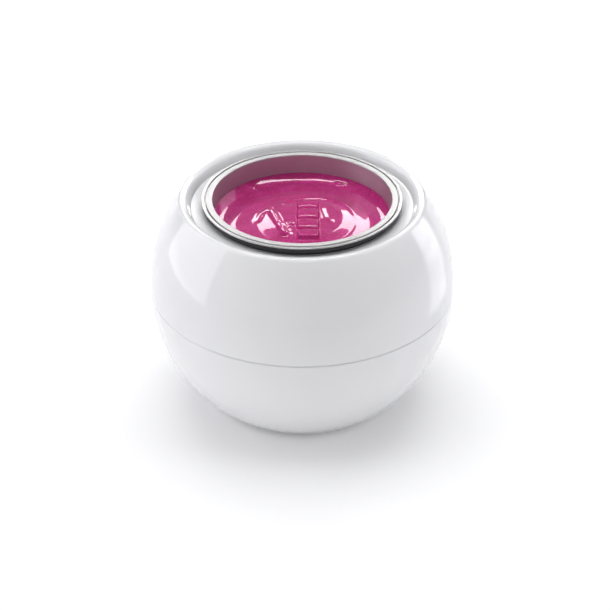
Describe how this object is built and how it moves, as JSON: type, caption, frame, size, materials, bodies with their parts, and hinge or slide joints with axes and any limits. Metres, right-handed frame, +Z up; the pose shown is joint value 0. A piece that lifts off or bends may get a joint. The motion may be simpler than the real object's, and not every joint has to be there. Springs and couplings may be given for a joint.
{
  "type": "wax warmer",
  "caption": "Ball-shaped electric wax warmer: glossy white casing in two halves, round mouth with a recessed ledge, heated well and a lift-out metal pot of melted wax.",
  "frame": {"origin": "on the floor, under the middle of the ball", "axes": "+Z up; -Y is the plain front; +Y is the back with the button and the mains inlet"},
  "size_m": [0.12, 0.12, 0.0862],
  "materials": {
    "casing_white": "glossy moulded plastic",
    "seal_black": "matt silicone",
    "well_metal": "polished, turned lip",
    "pot_metal": "brushed round the pot",
    "wax_pink": "glossy pearl wax",
    "bare_steel": "zinc plated sheet and wire",
    "shield_metal": "bright sheet",
    "screw_steel": "zinc plated",
    "board_green": "solder resist",
    "part_black": "fine moulded plastic",
    "part_yellow": "moulded box",
    "part_white": "moulded nylon",
    "ring_clear": "frosted light guide",
    "led_clear": "clear resin",
    "button_white": "glossy moulded plastic",
    "pin_brass": "nickel plated",
    "lead_red": "silicone insulation",
    "lead_white": "silicone insulation",
    "foot_grey": "matt rubber"
  },
  "bodies": {
    "casing": {"upper_shell": "casing_white", "lower_shell": "casing_white", "seal_ring": "seal_black", "heating_well": "well_metal", "heater_band": "bare_steel", "band_clamp": "bare_steel", "clamp_screw": "screw_steel", "clamp_nut": "screw_steel", "heat_shield": "shield_metal", "chassis_plate": "bare_steel", "chassis_screws": "screw_steel", "stud_washer": "screw_steel", "stud_nut": "screw_steel", "sensor_lug": "bare_steel", "sensor_nut": "screw_steel", "thermal_fuse": "part_white", "fuse_clip": "bare_steel", "power_board": "board_green", "relay": "part_black", "filter_capacitor": "part_yellow", "terminal_blocks": "part_white", "board_connectors": "part_white", "board_screws": "screw_steel", "light_ring": "ring_clear", "button_board": "board_green", "tact_switch": "part_black", "indicator_leds": "led_clear", "button_screws": "screw_steel", "inlet_socket": "part_black", "inlet_pins": "pin_brass", "mains_leads": "lead_red", "heater_leads": "lead_red", "sensor_lead": "lead_white", "button_cable": "lead_white", "rubber_feet": "foot_grey", "base_screws": "screw_steel"},
    "pot": {"wax_pot": "pot_metal", "wax_fill": "wax_pink"},
    "button": {"power_button": "button_white", "switch_plunger": "part_black"}
  },
  "joints": [
    {"name": "pot_lift", "type": "slide", "parent": "casing", "child": "pot", "axis": [0, 0, 1], "range_m": [0, 0.06]},
    {"name": "button_press", "type": "slide", "parent": "casing", "child": "button", "axis": [0, -0.9703, -0.2419], "range_m": [0, 0.001], "stiffness_N_per_m": 600, "springref_m": -0.0015}
  ]
}
